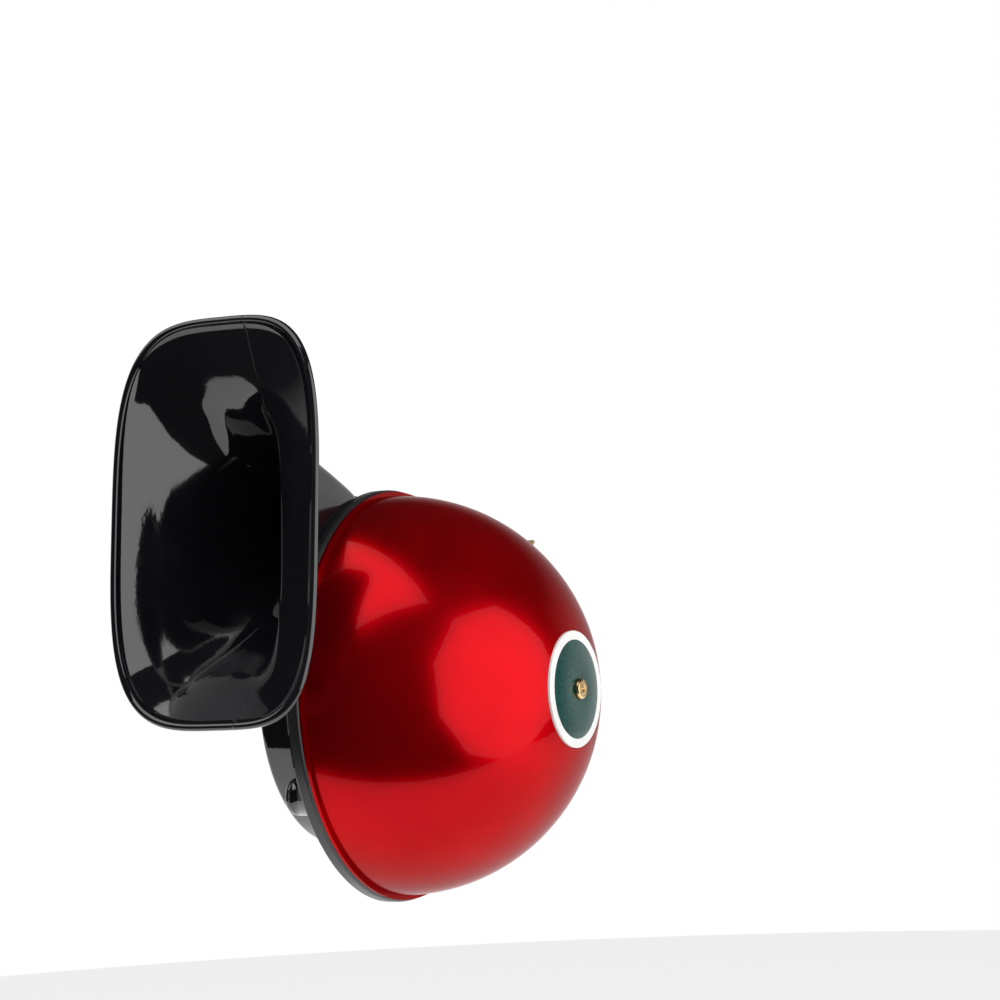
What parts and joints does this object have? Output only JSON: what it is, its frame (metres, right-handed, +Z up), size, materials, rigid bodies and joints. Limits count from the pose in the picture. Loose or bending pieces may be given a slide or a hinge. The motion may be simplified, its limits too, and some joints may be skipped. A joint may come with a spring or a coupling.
{
  "type": "car horn",
  "caption": "Electric car horn: a snail-shell trumpet of two moulded halves on a domed sound unit, held by a flat bracket plate.",
  "frame": {"origin": "middle of the bracket plate's two holes, on the plate's spiral-side face", "axes": "+Z up as the horn hangs in the car, the mouth faces -Y, the domed sound unit +X, the spiral -X, and the bracket runs to +Y"},
  "size_m": [0.1033, 0.1475, 0.1547],
  "materials": {
    "trumpet_plastic": "moulded, glossy black",
    "dome_paint": "candy red metallic under clear lacquer",
    "can_paint": "satin black over pressed steel",
    "zinc": "bright zinc plate",
    "badge_ring": "white-lacquered disc",
    "badge_enamel": "dark teal, domed and clear-coated",
    "brass": "turned, slightly dulled",
    "copper_wire": "enamelled copper wire",
    "magnet_iron": "turned soft iron",
    "spring_steel": "cold-rolled sheet",
    "gasket_card": "pressed fibre",
    "moulding": "phenolic moulding",
    "terminal_plastic": "moulded, black"
  },
  "bodies": {
    "root": {"adjusting_nut": "zinc", "adjusting_screw": "zinc", "armature": "magnet_iron", "armature_nut": "zinc", "armature_washer": "zinc", "badge_field": "badge_enamel", "badge_plate": "badge_ring", "bracket_plate": "zinc", "bracket_spacers": "zinc", "bracket_washers": "zinc", "can": "can_paint", "coil_bobbin": "moulding", "coil_winding": "copper_wire", "contact_insulators": "moulding", "contact_leaf": "spring_steel", "contact_plate": "spring_steel", "contact_points": "spring_steel", "contact_rivets": "brass", "diaphragm": "spring_steel", "dome_cover": "dome_paint", "dome_screw": "brass", "dome_standoff": "zinc", "lift_button": "moulding", "pole_core": "magnet_iron", "rim_gaskets": "gasket_card", "rim_nuts": "zinc", "rim_screws_long": "zinc", "rim_screws_short": "zinc", "terminal_blades": "brass", "terminal_block": "terminal_plastic", "thread_inserts": "zinc", "trumpet_base": "trumpet_plastic", "trumpet_cover": "trumpet_plastic"}
  },
  "joints": []
}
